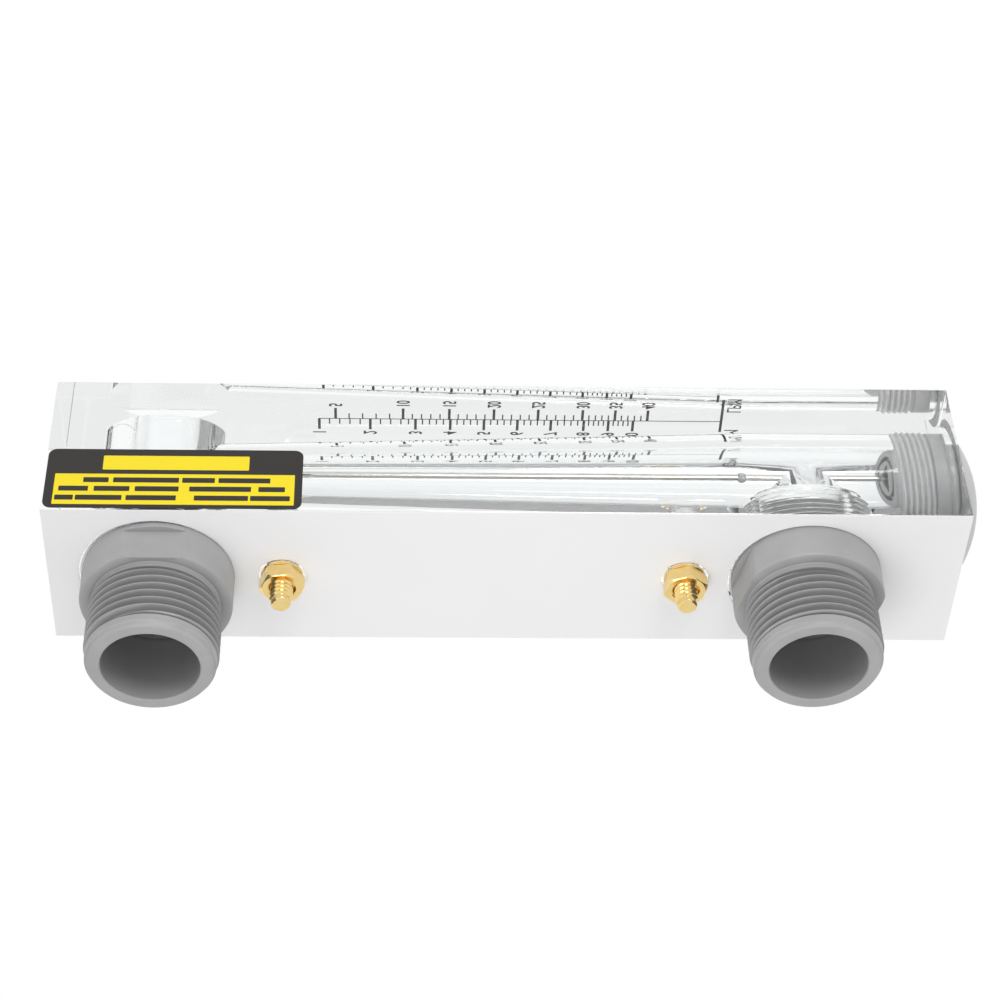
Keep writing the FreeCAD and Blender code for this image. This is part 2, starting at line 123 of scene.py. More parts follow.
def add(tree, kind, settings=None, **inputs):
    """Adds one node; settings are its properties, inputs are values or the sockets that feed it."""
    node = tree.nodes.new("ShaderNode" + kind)
    for name, value in (settings or {}).items():
        setattr(node, name, value)
    for name, value in inputs.items():
        key = int(name[1:]) if name[0] == "_" and name[1:].isdigit() else name.replace("_", " ")
        socket = node.inputs[key]
        if isinstance(value, bpy.types.NodeSocket):
            tree.links.new(value, socket)
        else:
            socket.default_value = value
    return node


def new_material(name):
    """An empty node material and its tree."""
    material = bpy.data.materials.new(name)
    material.use_nodes = True
    material.node_tree.nodes.clear()
    return material, material.node_tree


def surface(tree, shader):
    """Sends a shader to the material's output."""
    out = tree.nodes.new("ShaderNodeOutputMaterial")
    tree.links.new(shader.outputs[0], out.inputs["Surface"])

# %% [markdown]
# ## Acrylic
# The block is cast acrylic (PMMA), sawn and polished outside and bored on a lathe. Clear PMMA
# bends light by 1.49 and has no colour to speak of in such thin stock. Two finishes are needed:
# the polished one, and the faint haze that a drill or a tap leaves on the surface that it cut.

# %% Acrylic materials


def clear_acrylic():
    """Polished cast acrylic: a smooth dielectric, so only the surroundings give it a look."""
    material, tree = new_material("acrylic, polished")
    shader = add(tree, "BsdfPrincipled", Base_Color=colour("#fdfefe"), Roughness=0.0, IOR=1.49,
                 Transmission_Weight=1.0)
    surface(tree, shader)
    return material


def cut_acrylic(name, roughness):
    """Acrylic left as the tool cut it: the same dielectric with a fine haze."""
    material, tree = new_material(name)
    where = add(tree, "TexCoord")
    grain = add(tree, "TexNoise", Vector=where.outputs["Object"], Scale=1 / (0.4 * MM), Detail=3.0)
    haze = add(tree, "MapRange", Value=grain.outputs["Fac"], To_Min=roughness * 0.6,
               To_Max=roughness * 1.4)
    shader = add(tree, "BsdfPrincipled", Base_Color=colour("#fbfdfd"), Roughness=haze.outputs[0],
                 IOR=1.49, Transmission_Weight=1.0)
    surface(tree, shader)
    return material


def frosted_acrylic(name, white, roughness):
    """Acrylic scored by a tap or an end mill: part haze, part plain white, as on ground glass."""
    material, tree = new_material(name)
    where = add(tree, "TexCoord")
    score = add(tree, "TexNoise", Vector=where.outputs["Object"], Scale=1 / (0.6 * MM), Detail=3.0)
    share = add(tree, "MapRange", Value=score.outputs["Fac"], From_Min=0.3, From_Max=0.7,
                To_Min=white - 0.12, To_Max=white + 0.12)
    haze = add(tree, "BsdfPrincipled", Base_Color=colour("#fbfdfd"), Roughness=roughness,
               IOR=1.49, Transmission_Weight=1.0)
    chalk = add(tree, "BsdfDiffuse", Color=colour("#fafafa"))
    surface(tree, add(tree, "MixShader", Fac=share.outputs[0], _1=haze.outputs[0],
                      _2=chalk.outputs[0]))
    return material


ACRYLIC = clear_acrylic()
ACRYLIC_BORED = cut_acrylic("acrylic, bored", 0.02)
ACRYLIC_MILLED = cut_acrylic("acrylic, milled flat", 0.07)
ACRYLIC_TAPPED = cut_acrylic("acrylic, tapped", 0.1)
ACRYLIC_DRILLED = frosted_acrylic("acrylic, drilled", 0.7, 0.3)

# %% [markdown]
# ## Moulded plastic, film and rubber
# The fittings and the plug are injection moulded, so they have a fine even satin skin with a
# slight orange peel. The film is matt white vinyl. The seals are pale silicone.

# %% Plastic, film and rubber materials


# Painted shade: an ambient occlusion node mixes a darker grey into the bores, thread valleys and
# corners of the mouldings.
PAINTED_SHADE_REACH = 25 * MM
PAINTED_SHADE_GREY = "#666667"


def moulded_plastic(name, light, dark):
    """Grey engineering plastic: satin, faintly mottled by the melt, with painted shade in its
    hollows.
    """
    material, tree = new_material(name)
    where = add(tree, "TexCoord")
    flow = add(tree, "TexNoise", Vector=where.outputs["Object"], Scale=1 / (9 * MM), Detail=2.0)
    tone = add(tree, "ValToRGB", Fac=flow.outputs["Fac"])
    tone.color_ramp.elements[0].position = 0.3
    tone.color_ramp.elements[0].color = colour(dark)
    tone.color_ramp.elements[1].position = 0.7
    tone.color_ramp.elements[1].color = colour(light)
    # Painted shade: the occlusion mask darkens the tone where the piece hides itself from the light.
    hollow = add(tree, "AmbientOcclusion", {"samples": 8, "only_local": True}, Distance=PAINTED_SHADE_REACH)
    unshaded_share = add(tree, "MapRange", Value=hollow.outputs["AO"], From_Min=0.08, From_Max=0.62)
    shaded = add(tree, "MixRGB", Fac=unshaded_share.outputs[0], Color1=colour(PAINTED_SHADE_GREY),
                 Color2=tone.outputs["Color"])
    peel = add(tree, "TexNoise", Vector=where.outputs["Object"], Scale=1 / (0.35 * MM), Detail=2.0)
    bump = add(tree, "Bump", Height=peel.outputs["Fac"], Strength=0.12, Distance=0.02 * MM)
    shader = add(tree, "BsdfPrincipled", Base_Color=shaded.outputs["Color"], Roughness=0.42,
                 Normal=bump.outputs["Normal"], IOR=1.5)
    surface(tree, shader)
    return material


def white_vinyl():
    """Matt white film: nearly even, with the faint cloudiness of a calendered sheet."""
    material, tree = new_material("white vinyl film")
    where = add(tree, "TexCoord")
    cloud = add(tree, "TexNoise", Vector=where.outputs["Object"], Scale=1 / (25 * MM), Detail=2.0)
    tone = add(tree, "ValToRGB", Fac=cloud.outputs["Fac"])
    tone.color_ramp.elements[0].color = colour("#f0f0f1")
    tone.color_ramp.elements[1].color = colour("#f4f4f5")
    shader = add(tree, "BsdfPrincipled", Base_Color=tone.outputs["Color"], Roughness=0.45)
    surface(tree, shader)
    return material


def silicone(name, tint, clear):
    """Translucent silicone rubber: mostly scattered light, a little passed straight through."""
    material, tree = new_material(name)
    where = add(tree, "TexCoord")
    bloom = add(tree, "TexNoise", Vector=where.outputs["Object"], Scale=1 / (1.5 * MM), Detail=2.0)
    rough = add(tree, "MapRange", Value=bloom.outputs["Fac"], To_Min=0.3, To_Max=0.5)
    shader = add(tree, "BsdfPrincipled", Base_Color=colour(tint), Roughness=rough.outputs[0],
                 IOR=1.41, Transmission_Weight=clear)
    surface(tree, shader)
    return material


GREY_PLASTIC = moulded_plastic("moulded grey plastic", "#a9a9aa", "#a1a1a2")
PLUG_PLASTIC = moulded_plastic("moulded pale grey plastic", "#d2d2d3", "#cacacb")
# Painted light: the plug's thread is the plug's own plastic, drawn almost white so that it reads
# lighter than the rest of the plug.
THREAD_PLASTIC_PAINTED_LIGHT = moulded_plastic("moulded pale grey plastic, thread, painted lighter", "#fafafa", "#f2f2f3")
WHITE_FILM = white_vinyl()
CLEAR_SILICONE = silicone("clear silicone", "#eeeeeb", 0.25)
SEAL_SILICONE = silicone("seal silicone", "#ebebe9", 0.3)

# %% [markdown]
# ## Metals
# The rod and the float are turned and polished stainless steel. The studs, nuts and washers are
# polished brass. A turned part keeps very fine rings, which stretch its highlights.

# %% Metal materials


def turned_metal(name, light, dark, roughness, ring_mm):
    """Polished metal with fine turning rings; light and dark are its two tones."""
    material, tree = new_material(name)
    where = add(tree, "TexCoord")
    blotch = add(tree, "TexNoise", Vector=where.outputs["Object"], Scale=1 / (2.5 * MM), Detail=2.0)
    tone = add(tree, "MixRGB", Fac=blotch.outputs["Fac"], Color1=colour(light), Color2=colour(dark))
    rings = add(tree, "TexWave", {"bands_direction": "Z"}, Vector=where.outputs["Object"],
                Scale=1 / (ring_mm * MM) / 20, Distortion=0.4)
    bump = add(tree, "Bump", Height=rings.outputs["Fac"], Strength=0.05, Distance=0.01 * MM)
    shader = add(tree, "BsdfPrincipled", Base_Color=tone.outputs["Color"], Metallic=1.0,
                 Roughness=roughness, Normal=bump.outputs["Normal"])
    surface(tree, shader)
    return material


BRASS = turned_metal("polished brass", "#fae2a4", "#efcd7e", 0.15, 0.15)
DULL_BRASS = turned_metal("knurled brass, dull", "#a9a69f", "#96938d", 0.5, 0.4)
STAINLESS = turned_metal("turned stainless steel", "#ece9e5", "#dfdbd5", 0.12, 0.1)

# %% [markdown]
# ## Ink and sticker
# The scale is screen printed in black ink. The sticker is printed vinyl: black with yellow fields.

# %% Printed materials


def ink(name, hex_colour, roughness):
    """Printed ink or vinyl: an even colour, broken by the faint mottling of the print."""
    material, tree = new_material(name)
    where = add(tree, "TexCoord")
    mottle = add(tree, "TexNoise", Vector=where.outputs["Object"], Scale=1 / (0.8 * MM), Detail=2.0)
    wear = add(tree, "MapRange", Value=mottle.outputs["Fac"], To_Min=roughness - 0.05,
               To_Max=roughness + 0.05)
    shader = add(tree, "BsdfPrincipled", Base_Color=colour(hex_colour), Roughness=wear.outputs[0])
    surface(tree, shader)
    return material


SCALE_INK = ink("black scale ink", "#1c1c1e", 0.5)
STICKER_BLACK = ink("black vinyl", "#201d1b", 0.4)
STICKER_YELLOW = ink("yellow print", "#fbe318", 0.45)

# %% [markdown]
# ## Making a piece
# Every piece is drawn about its own axis in millimetres, laid where it belongs, and finished the
# same way: into metres, smooth faces with sharp corners kept, a finish, a body to ride on, and the
# frame nodes that it stands for.

# %% Piece helpers
SPIN_STEPS = 128


def lay_out_of_back(z, turn=0.0, y=0.0):
    """The transform for a piece drawn along its own Z axis that points out of the back face."""
    lay = Matrix.Rotation(math.radians(-90), 4, "X")
    spin = Matrix.Rotation(math.radians(turn), 4, "Z")
    return Matrix.Translation((0, y, z)) @ lay @ spin


def on_bore(z=0.0):
    """The transform for a piece drawn about the metering bore's axis."""
    return Matrix.Translation((0, BORE_Y, z))


def lathe(outline, steps=SPIN_STEPS, close=True):
    """A bmesh turned about Z from (radius, height) points; closed back to its start if asked."""
    bm = bmesh.new()
    points = [bm.verts.new((radius, 0, height)) for radius, height in outline]
    for first, second in zip(points, points[1:]):
        bm.edges.new((first, second))
    if close:
        bm.edges.new((points[-1], points[0]))
    geometry = bm.verts[:] + bm.edges[:]
    bmesh.ops.spin(bm, geom=geometry, cent=(0, 0, 0), axis=(0, 0, 1), angle=math.tau, steps=steps,
                   use_merge=True)
    bmesh.ops.remove_doubles(bm, verts=bm.verts[:], dist=1e-4)
    bmesh.ops.recalc_face_normals(bm, faces=bm.faces[:])
    return bm


def to_object(bm, name, materials, place=None):
    """Turns a bmesh in millimetres into an object at the origin, in metres."""
    if place is not None:
        bmesh.ops.transform(bm, matrix=place, verts=bm.verts[:])
    bmesh.ops.scale(bm, vec=(MM, MM, MM), verts=bm.verts[:])
    mesh = bpy.data.meshes.new(name)
    bm.to_mesh(mesh)
    bm.free()
    for material in materials:
        mesh.materials.append(material)
    piece = bpy.data.objects.new(name, mesh)
    bpy.context.scene.collection.objects.link(piece)
    return piece


def finish_piece(piece, body, nodes, sharp=35.0, flat=None):
    """Smooth shading with sharp corners, then the piece's body and frame nodes.

    Faces that wear the material numbered flat stay flat, for planes that light passes through.
    """
    mesh = piece.data
    mesh.set_sharp_from_angle(angle=math.radians(sharp))
    mesh.polygons.foreach_set("use_smooth", [face.material_index != flat for face in mesh.polygons])
    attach(piece, body)
    if nodes:
        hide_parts(*nodes)
    print("%-16s %6d faces" % (piece.name, len(mesh.polygons)))
    return piece


def combine(target, cutter, operation="DIFFERENCE"):
    """Applies one Boolean to target and throws the cutter away."""
    modifier = target.modifiers.new("join", "BOOLEAN")
    modifier.object = cutter
    modifier.operation = operation
    modifier.solver = "EXACT"
    modifier.material_mode = "TRANSFER"
    shaped = target.evaluated_get(bpy.context.evaluated_depsgraph_get())
    mesh = bpy.data.meshes.new_from_object(shaped)
    target.modifiers.clear()
    target.data = mesh
    bpy.data.objects.remove(cutter)

# %% [markdown]
# ## Screw threads
# A thread is one tooth that climbs by its pitch in each turn. Spin does exactly that when it is
# given a small step along the axis: a line of teeth goes once round while it rises by one pitch,
# so its end meets its own start and the seam welds shut. The line starts a turn early and ends a
# turn late, and both ends are then cut flat. A moulded pipe thread has thin crests and hollow
# valleys, and a cut one has straight flanks, so the tooth is a list of shares of pitch and depth.

# %% Thread helper
CUT_TOOTH = [(0.06, 0.0), (0.44, 1.0), (0.56, 1.0), (0.94, 0.0)]
MOULDED_TOOTH = [(0.02, 0.0), (0.15, 0.1), (0.29, 0.36), (0.4, 0.76), (0.46, 1.0), (0.54, 1.0),
                 (0.6, 0.76), (0.71, 0.36), (0.85, 0.1), (0.98, 0.0)]


def thread(root, crest, pitch, low, high, tooth, lead_low=0.0, lead_high=0.0, core=None):
    """A closed bmesh of a screw thread from low to high; hollow inside core if that is given.

    The crest grows from the root over lead_low at the bottom, and fades over lead_high at the top.
    """
    bm = bmesh.new()
    turns = math.ceil((high - low) / pitch) + 2
    line = []
    for turn in range(turns):
        for rise, share in tooth:
            radius = root + (crest - root) * share
            line.append(bm.verts.new((radius, 0, low + (turn - 1 + rise) * pitch)))
    for first, second in zip(line, line[1:]):
        bm.edges.new((first, second))
    bmesh.ops.spin(bm, geom=bm.verts[:] + bm.edges[:], cent=(0, 0, 0), axis=(0, 0, 1),
                   dvec=(0, 0, pitch / SPIN_STEPS), angle=math.tau, steps=SPIN_STEPS,
                   use_merge=False)
    bmesh.ops.remove_doubles(bm, verts=bm.verts[:], dist=0.002)
    for vert in bm.verts:
        share_low = (vert.co.z - low) / lead_low if lead_low else 1.0
        share_high = (high - vert.co.z) / lead_high if lead_high else 1.0
        limit = root + (crest - root) * max(0.0, min(1.0, share_low, share_high))
        radius = vert.co.xy.length
        if radius > limit:
            vert.co.xy = vert.co.xy * (limit / radius)
    for height, is_low in ((low, True), (high, False)):
        bmesh.ops.bisect_plane(bm, geom=bm.verts[:] + bm.edges[:] + bm.faces[:], dist=1e-5,
                               plane_co=(0, 0, height), plane_no=(0, 0, 1), clear_inner=is_low,
                               clear_outer=not is_low)
    rims = [edge for edge in bm.edges if edge.is_boundary]
    if core is None:
        bmesh.ops.holes_fill(bm, edges=rims, sides=0)
    else:
        grown = bmesh.ops.extrude_edge_only(bm, edges=rims)["geom"]
        for vert in (item for item in grown if isinstance(item, bmesh.types.BMVert)):
            vert.co.xy = vert.co.xy.normalized() * core
        loops = [item for item in grown if isinstance(item, bmesh.types.BMEdge)
                 and item.is_boundary]
        bmesh.ops.bridge_loops(bm, edges=loops)
    bmesh.ops.recalc_face_normals(bm, faces=bm.faces[:])
    return bm

# %% [markdown]
# ## The block
# A real block starts as a polished bar and gets its bores from a drill, a taper reamer and taps.
# Here the bar is a bevelled cube and each tool is a solid that is subtracted from it. The taps
# leave true screw threads, because light through clear plastic shows every one of them.

# %% The bar
bar = bmesh.new()
bmesh.ops.create_cube(bar, size=1.0)
bmesh.ops.scale(bar, vec=block_size, verts=bar.verts[:])
bmesh.ops.translate(bar, vec=(block_low + block_high) / 2, verts=bar.verts[:])
bmesh.ops.bevel(bar, geom=bar.edges[:], offset=0.25, offset_type="OFFSET", segments=2, profile=0.5,
                affect="EDGES", material=-1)
block = to_object(bar, "acrylic_block", [ACRYLIC, ACRYLIC_BORED, ACRYLIC_DRILLED])

# %% Tools of the block


def drill(radius, deep, tip=0.0):
    """A drill that enters from the back face, flat ended or with a conical tip.

    The faces at its end take a second finish, because an end mill scores its floor more.
    """
    bm = lathe([(0, -deep - tip), (radius, -deep), (radius, 1), (0, 1)], close=False)
    for face in bm.faces:
        face.material_index = int(face.calc_center_median().z <= -deep)
    return bm


def cut(bm, finishes, place):
    """Subtracts a tool from the block; the cut faces take the tool's finishes."""
    combine(block, to_object(bm, "tool", finishes, place))


rod_hole = ROD_RADIUS + 0.08
reamer = lathe([
    (0, block_low.z + ROD_SEAT),
    (rod_hole, block_low.z + ROD_SEAT),
    (rod_hole, INLET_Z),
    (TAPER_LOW_RADIUS, INLET_Z),
    (TAPER_TOP_RADIUS, TAPER_TOP_Z),
    (CHAMBER_RADIUS, TAPER_TOP_Z),
    (CHAMBER_RADIUS, block_high.z + 1),
    (0, block_high.z + 1),
], close=False)
cut(reamer, [ACRYLIC_BORED], on_bore())
seat = lathe([(0, -PLUG_SEAT_DEEP), (PLUG_SEAT_RADIUS, -PLUG_SEAT_DEEP), (PLUG_SEAT_RADIUS, 1),
              (0, 1)], close=False)
cut(seat, [ACRYLIC_TAPPED], on_bore(block_high.z))
plug_tap = thread(CHAMBER_RADIUS - 0.1, PLUG_TAP_RADIUS + 0.15, PLUG_PITCH,
                  block_high.z - PLUG_TAP_DEEP, block_high.z - PLUG_SEAT_DEEP - 2.5, CUT_TOOTH,
                  lead_low=1.0, lead_high=0.6)
cut(plug_tap, [ACRYLIC_TAPPED], on_bore())
for port_z, radius, deep in ((INLET_Z, INLET_RADIUS, INLET_DEEP),
                             (OUTLET_Z, OUTLET_RADIUS, -BORE_Y)):
    cut(drill(radius, deep), [ACRYLIC_BORED, ACRYLIC_MILLED], lay_out_of_back(port_z))
    tap = thread(PORT_TAP_ROOT, PORT_TAP_RADIUS, PORT_PITCH, -PORT_TAP_DEEP, 0.5, CUT_TOOTH,
                 lead_low=1.5)
    cut(tap, [ACRYLIC_TAPPED], lay_out_of_back(port_z))
    cut(drill(PORT_SPOT_RADIUS, PORT_SPOT_DEEP), [ACRYLIC_BORED, ACRYLIC_DRILLED],
        lay_out_of_back(port_z))
for stud_z in STUD_Z.values():
    cut(drill(INSERT_RADIUS, 12.0, tip=2.0), [ACRYLIC_DRILLED] * 2, lay_out_of_back(stud_z))
finish_piece(block, "meter", ["body_block"], sharp=24.0, flat=0)

# %% [markdown]
# ## The film
# White vinyl covers the back, with a round hole for each fitting and washer. Its glue leaves no air
# under it, and that matters: through the side of the block it is seen at so flat an angle that a
# film with air behind it would vanish behind a mirror. So its inner face sits a hair inside the
# acrylic, where light in the plastic meets the vinyl and not air.

# %% Back film
film_low, film_high = box_mm("back_film")
CONTACT = 0.03
FILM_PORT_HOLE = 19.35
FILM_PORT_SLIP = 0.4
FILM_STUD_HOLE = 5.95

sheet = bmesh.new()
bmesh.ops.create_cube(sheet, size=1.0)
sheet_low = Vector((film_low.x + 0.05, -CONTACT, film_low.z + 0.05))
sheet_high = Vector((film_high.x - 0.05, film_high.y, film_high.z - 0.05))
bmesh.ops.scale(sheet, vec=sheet_high - sheet_low, verts=sheet.verts[:])
bmesh.ops.translate(sheet, vec=(sheet_low + sheet_high) / 2, verts=sheet.verts[:])
film = to_object(sheet, "white_film", [WHITE_FILM])
holes = [(port_z - FILM_PORT_SLIP, FILM_PORT_HOLE) for port_z in (INLET_Z, OUTLET_Z)]
holes += [(stud_z, FILM_STUD_HOLE) for stud_z in STUD_Z.values()]
for hole_z, hole in holes:
    punch = lathe([(0, -1.0), (hole, -1.0), (hole, 1.0), (0, 1.0)], close=False)
    combine(film, to_object(punch, "punch", [WHITE_FILM], lay_out_of_back(hole_z)))
finish_piece(film, "meter", ["back_film"])

# %% [markdown]
# ## The pipe fittings
# Each fitting is one moulding: a shank in the block, a collar with two wrench flats, a neck, the
# pipe thread and a bevelled mouth. The round form is turned from its outline, the thread is added
# to it, and two boxes cut the flats, which stop short of the collar's rear rim.

# %% Fittings
FIT_BORE = 12.1
FIT_COLLAR = (box_mm("inlet_fitting")[1] - box_mm("inlet_fitting")[0]).x / 2
FIT_COLLAR_LONG = 10.5
FIT_NECK_END = 12.0
FIT_THREAD_END = 27.6
FIT_THREAD = 16.5
FIT_ROOT = 14.75
FIT_LONG = box_mm("inlet_fitting")[1].y
FIT_FLAT = 17.25
FIT_RIM = 1.7


def fitting(name, node, slot_turn):
    """One fitting, drawn from the rear of its collar, and placed by its mouth."""
    seat = FIT_LONG - box_mm(node)[1].y
    outline = [
        (FIT_BORE, -9.0), (15.1, -9.0), (15.5, -8.4), (15.5, -3.4), (14.6, -3.4), (14.6, 0.0),
        (FIT_COLLAR - 0.45, 0.0), (FIT_COLLAR - 0.12, 0.12), (FIT_COLLAR, 0.45),
        (FIT_COLLAR, FIT_COLLAR_LONG - 0.7), (FIT_COLLAR - 0.2, FIT_COLLAR_LONG - 0.2),
        (FIT_COLLAR - 0.7, FIT_COLLAR_LONG), (16.1, FIT_COLLAR_LONG), (15.8, FIT_COLLAR_LONG + 0.3),
        (15.75, FIT_NECK_END - 0.2), (FIT_ROOT, FIT_NECK_END + 0.2),
        (FIT_ROOT, FIT_THREAD_END - 0.8), (16.05, FIT_THREAD_END), (15.95, FIT_LONG - 1.5),
        (15.55, FIT_LONG - 1.35), (15.3, FIT_LONG - 0.5), (14.9, FIT_LONG - 0.05),
        (14.6, FIT_LONG), (FIT_BORE + 0.25, FIT_LONG), (FIT_BORE, FIT_LONG - 0.3),
        (FIT_BORE, FIT_COLLAR_LONG + 1), (FIT_BORE + 0.2, FIT_COLLAR_LONG + 1),
        (FIT_BORE + 0.2, FIT_COLLAR_LONG), (FIT_BORE, FIT_COLLAR_LONG),
    ]
    place = lay_out_of_back(centre[node].z, slot_turn, -seat)
    body = to_object(lathe(outline), name, [GREY_PLASTIC], place)
    tooth = thread(FIT_ROOT - 0.3, FIT_THREAD, PIPE_PITCH, FIT_NECK_END + 0.1, FIT_THREAD_END - 0.1,
                   MOULDED_TOOTH, lead_low=1.2, lead_high=0.5, core=FIT_ROOT - 1.0)
    combine(body, to_object(tooth, "thread", [GREY_PLASTIC], place), "UNION")
    for side in (-1, 1):
        box = bmesh.new()
        bmesh.ops.create_cube(box, size=1.0)
        bmesh.ops.scale(box, vec=(10, 60, FIT_COLLAR_LONG + 1 - FIT_RIM), verts=box.verts[:])
        middle = (side * (FIT_FLAT + 5), 0, (FIT_COLLAR_LONG + 1 + FIT_RIM) / 2)
        bmesh.ops.translate(box, vec=middle, verts=box.verts[:])
        combine(body, to_object(box, "flat", [GREY_PLASTIC], place))
    finish_piece(body, "meter", [node], sharp=24.0)


fitting("inlet_pipe_fitting", "inlet_fitting", 0.0)
fitting("outlet_pipe_fitting", "outlet_fitting", 76.0)

# %% [markdown]
# ## The end plug
# The plug closes the long bore: a fine thread, a smooth neck under its seal, and a domed flange
# with a hexagon socket. Its nose, seen through the chamber, has a ring groove and a three-cornered
# pocket that takes the end of the rod.

# %% Plug
plug_low, plug_high = box_mm("end_plug")
PLUG_FLANGE = 19.4
PLUG_NOSE = 14.2
PLUG_ROOT = 14.1
PLUG_THREAD = 14.95
PLUG_SEAT = block_high.z - plug_low.z
PLUG_RIM = PLUG_SEAT + 1.0
DOME_RISE = 6.8
DOME_STEPS = 16
DOME_RADIUS = (PLUG_FLANGE ** 2 + DOME_RISE ** 2) / (2 * DOME_RISE)
PLUG_TOP = PLUG_RIM + DOME_RISE

dome = []
for step in range(1, DOME_STEPS):
    radius = PLUG_FLANGE * (1 - step / DOME_STEPS)
    height = math.sqrt(DOME_RADIUS ** 2 - radius ** 2) - DOME_RADIUS + DOME_RISE
    dome.append((radius, PLUG_RIM + height))
plug_outline = [
    (0, 0.0), (8.2, 0.0), (8.4, 0.2), (8.4, 1.5), (10.6, 1.5), (10.6, 0.2), (10.8, 0.0),
    (PLUG_NOSE - 0.5, 0.0), (PLUG_NOSE, 0.5), (PLUG_NOSE, 0.9), (PLUG_ROOT, 1.2),
    (PLUG_ROOT, 10.0), (14.6, 10.4), (14.6, PLUG_SEAT - CONTACT),
    (PLUG_FLANGE, PLUG_SEAT - CONTACT),
    (PLUG_FLANGE, PLUG_RIM), *dome, (0, PLUG_TOP),
]
plug = to_object(lathe(plug_outline, close=False), "end_cap", [PLUG_PLASTIC], on_bore(plug_low.z))
plug_teeth = thread(PLUG_ROOT - 0.2, PLUG_THREAD, PLUG_PITCH, 1.0, 10.2, CUT_TOOTH, lead_low=0.8,
                    lead_high=0.6, core=PLUG_ROOT - 1.0)
combine(plug, to_object(plug_teeth, "thread", [THREAD_PLASTIC_PAINTED_LIGHT], on_bore(plug_low.z)), "UNION")


def pocket(sides, radius, deep, soft, height):
    """Cuts a pocket with soft corners into the plug, deep to both sides of a height."""
    bm = bmesh.new()
    bmesh.ops.create_cone(bm, cap_ends=True, segments=sides, radius1=radius, radius2=radius,
                          depth=2 * deep)
    upright = [edge for edge in bm.edges if abs(edge.verts[0].co.z - edge.verts[1].co.z) > deep]
    bmesh.ops.bevel(bm, geom=upright, offset=soft, offset_type="OFFSET", segments=5, profile=0.5,
                    affect="EDGES", material=-1)
    combine(plug, to_object(bm, "pocket", [PLUG_PLASTIC], on_bore(height)))


pocket(6, 7.0, 7.0, 0.3, plug_low.z + PLUG_TOP)
pocket(3, 7.6, 3.0, 1.2, plug_low.z)
finish_piece(plug, "meter", ["end_plug"], sharp=32.0)

# %% [markdown]
# ## Rod, float and stops
# The rod is drawn bar with a small bevel at each end. The float is turned from the same bar stock:
# a sharp upper edge that is read against the scale, a slim stem and a pointed foot. Two short
# rubber sleeves on the rod stop it.

# %% Rod
rod_low, rod_high = box_mm("guide_rod")
rod_outline = [
    (0, rod_low.z), (ROD_RADIUS - 0.25, rod_low.z), (ROD_RADIUS, rod_low.z + 0.25),
    (ROD_RADIUS, rod_high.z - 0.25), (ROD_RADIUS - 0.25, rod_high.z), (0, rod_high.z),
]
rod = to_object(lathe(rod_outline, steps=64, close=False), "guide_bar", [STAINLESS], on_bore())
finish_piece(rod, "meter", ["guide_rod"])

# %% Float
float_low, float_high = box_mm("float")
FLOAT_HEAD = (float_high - float_low).x / 2
FLOAT_LONG = (float_high - float_low).z
FLOAT_EDGE = FLOAT_LONG - 2.0
FLOAT_STEM = 5.4
float_outline = [
    (rod_hole, 0.25), (rod_hole + 0.25, 0.0), (2.4, 0.0), (2.65, 0.2), (6.8, 3.8), (7.0, 4.1),
    (7.0, 6.4), (6.85, 6.6), (FLOAT_STEM + 0.25, 7.8), (FLOAT_STEM, 8.2),
    (FLOAT_STEM, FLOAT_EDGE - 5.9), (FLOAT_STEM + 0.1, FLOAT_EDGE - 5.4),
    (FLOAT_HEAD - 0.1, FLOAT_EDGE - 0.75), (FLOAT_HEAD, FLOAT_EDGE - 0.6),
    (FLOAT_HEAD, FLOAT_EDGE - 0.1), (FLOAT_HEAD - 0.1, FLOAT_EDGE), (4.6, FLOAT_EDGE),
    (4.4, FLOAT_EDGE + 0.15), (2.75, FLOAT_LONG - 0.2), (2.5, FLOAT_LONG),
    (rod_hole + 0.25, FLOAT_LONG), (rod_hole, FLOAT_LONG - 0.25),
]
spindle = to_object(lathe(float_outline), "spindle_float", [STAINLESS], on_bore(float_low.z))
finish_piece(spindle, "float", ["float"])

# %% Stops
STOP_LONG = {"lower": 3.6, "upper": 2.4}
for side in ("lower", "upper"):
    stop_low, stop_high = box_mm(side + "_stop")
    outer = (stop_high - stop_low).x / 2
    long = STOP_LONG[side]
    soft = 1.1
    quarter = [(math.sin(math.radians(a)), math.cos(math.radians(a))) for a in range(0, 91, 15)]
    lower_round = [(outer - soft + soft * s, soft - soft * c) for s, c in quarter]
    upper_round = [(outer - soft + soft * s, long - soft + soft * c) for s, c in reversed(quarter)]
    sleeve_outline = [(ROD_RADIUS, 0.0), *lower_round, *upper_round, (ROD_RADIUS, long)]
    sleeve = to_object(lathe(sleeve_outline, steps=64), side + "_sleeve", [CLEAR_SILICONE],
                       on_bore(stop_low.z))
    finish_piece(sleeve, "meter", [side + "_stop"])

# %% [markdown]
# ## Seals
# An O-ring is a circle turned about an axis, so its section is made as a ring of points and spun.

# %% O-rings


def o_ring(name, node, place_axis):
    """An O-ring that fills its node's box."""
    low, high = box_mm(node)
    size = sorted(high - low)
    wire = size[0] / 2
    middle = size[2] / 2 - wire
    section = []
    for step in range(24):
        angle = math.tau * step / 24
        section.append((middle + wire * math.cos(angle), wire * math.sin(angle)))
    ring = to_object(lathe(section), name, [SEAL_SILICONE], place_axis)
    finish_piece(ring, "meter", [node], sharp=60.0)


o_ring("plug_seal", "end_plug_o_ring", on_bore(centre["end_plug_o_ring"].z))
for port in ("inlet", "outlet"):
    node = port + "_o_ring"
    o_ring(port + "_seal", node, lay_out_of_back(centre[node].z, 0.0, centre[node].y))

# %% [markdown]
# ## Studs, nuts and washers
# The brass hardware is small but bright, so it gets real threads, rounded hexagon corners and
# bevels. The nut starts as a six-sided prism; a cone cut from each face gives the curved bevel
# that every turned nut has, and a countersink opens its bore.

